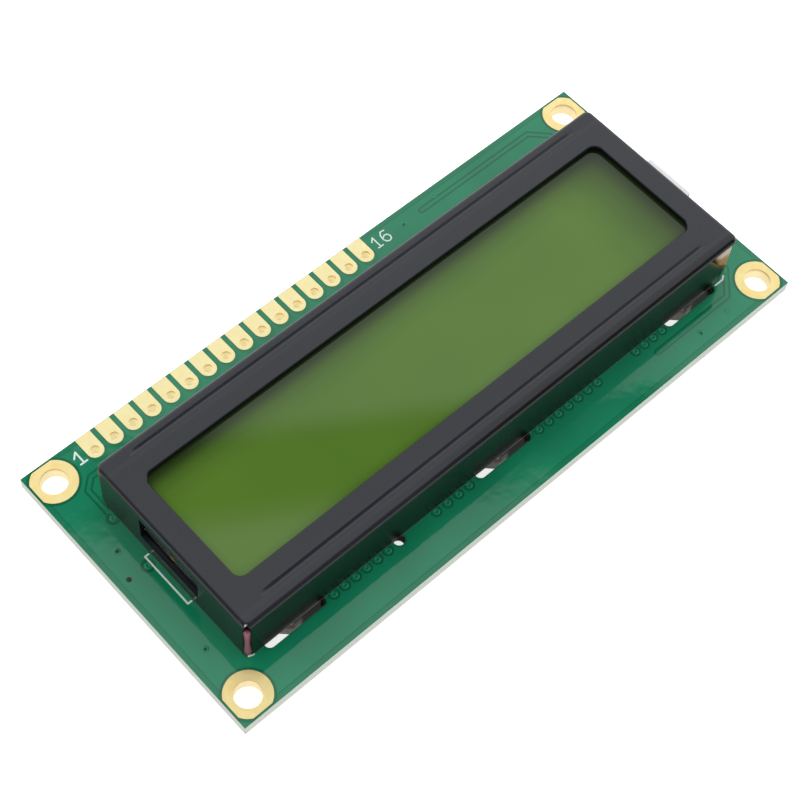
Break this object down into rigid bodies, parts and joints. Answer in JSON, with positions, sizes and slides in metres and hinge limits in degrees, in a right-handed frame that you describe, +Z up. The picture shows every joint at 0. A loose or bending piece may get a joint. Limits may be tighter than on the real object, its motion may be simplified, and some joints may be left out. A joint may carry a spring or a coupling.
{
  "type": "character lcd module",
  "caption": "Character display module: a backlit liquid crystal cell under a folded metal bezel on a green circuit board, with a row of plated terminals.",
  "frame": {"origin": "centre of the four mounting holes, on the circuit board's back face", "axes": "+X along the board away from terminal 1's end, +Y towards the row of terminals, +Z up through the display's face"},
  "size_m": [0.08, 0.036, 0.0103],
  "materials": {
    "board_green": "glass-fibre laminate under glossy green solder mask",
    "gold_plating": "flash-gold plated copper, glossy",
    "bezel_black": "satin black coating on steel sheet",
    "polariser_front": "yellow-green polariser film, smooth",
    "polariser_rear": "polariser film, smooth",
    "cell_glass": "clear float glass",
    "liquid_crystal": "liquid layer behind glass",
    "cell_seal": "cured epoxy line",
    "diffuser_white": "white film, matt",
    "guide_acrylic": "clear acrylic, polished",
    "tray_cream": "cream moulded plastic",
    "lamp_milky": "milky moulded resin",
    "tinned_wire": "tinned wire",
    "solder": "bright solder",
    "strip_rubber": "silicone rubber, smooth",
    "dome_epoxy": "black epoxy, satin",
    "resistor_black": "ceramic chip under black glaze"
  },
  "bodies": {
    "root": {"backlight_resistor_1": "resistor_black", "backlight_resistor_2": "resistor_black", "backlight_tray": "tray_cream", "bezel": "bezel_black", "cell_seal": "cell_seal", "circuit_board": "board_green", "connector_strip_north": "strip_rubber", "connector_strip_south": "strip_rubber", "controller_chip_dome": "dome_epoxy", "diffuser_film": "diffuser_white", "divider_resistor_1": "resistor_black", "divider_resistor_2": "resistor_black", "divider_resistor_3": "resistor_black", "divider_resistor_4": "resistor_black", "divider_resistor_5": "resistor_black", "driver_chip_dome": "dome_epoxy", "front_glass": "cell_glass", "front_polariser": "polariser_front", "lamp_lead_anode": "tinned_wire", "lamp_lead_cathode": "tinned_wire", "lamp_solder_anode": "solder", "lamp_solder_cathode": "solder", "led_bar": "lamp_milky", "light_guide": "guide_acrylic", "liquid_crystal": "liquid_crystal", "mounting_pad_north_east": "gold_plating", "mounting_pad_north_west": "gold_plating", "mounting_pad_south_east": "gold_plating", "mounting_pad_south_west": "gold_plating", "oscillator_resistor": "resistor_black", "rear_glass": "cell_glass", "rear_polariser": "polariser_rear", "reflector_film": "diffuser_white", "terminal_pad_01": "gold_plating", "terminal_pad_02": "gold_plating", "terminal_pad_03": "gold_plating", "terminal_pad_04": "gold_plating", "terminal_pad_05": "gold_plating", "terminal_pad_06": "gold_plating", "terminal_pad_07": "gold_plating", "terminal_pad_08": "gold_plating", "terminal_pad_09": "gold_plating", "terminal_pad_10": "gold_plating", "terminal_pad_11": "gold_plating", "terminal_pad_12": "gold_plating", "terminal_pad_13": "gold_plating", "terminal_pad_14": "gold_plating", "terminal_pad_15": "gold_plating", "terminal_pad_16": "gold_plating"}
  },
  "joints": []
}
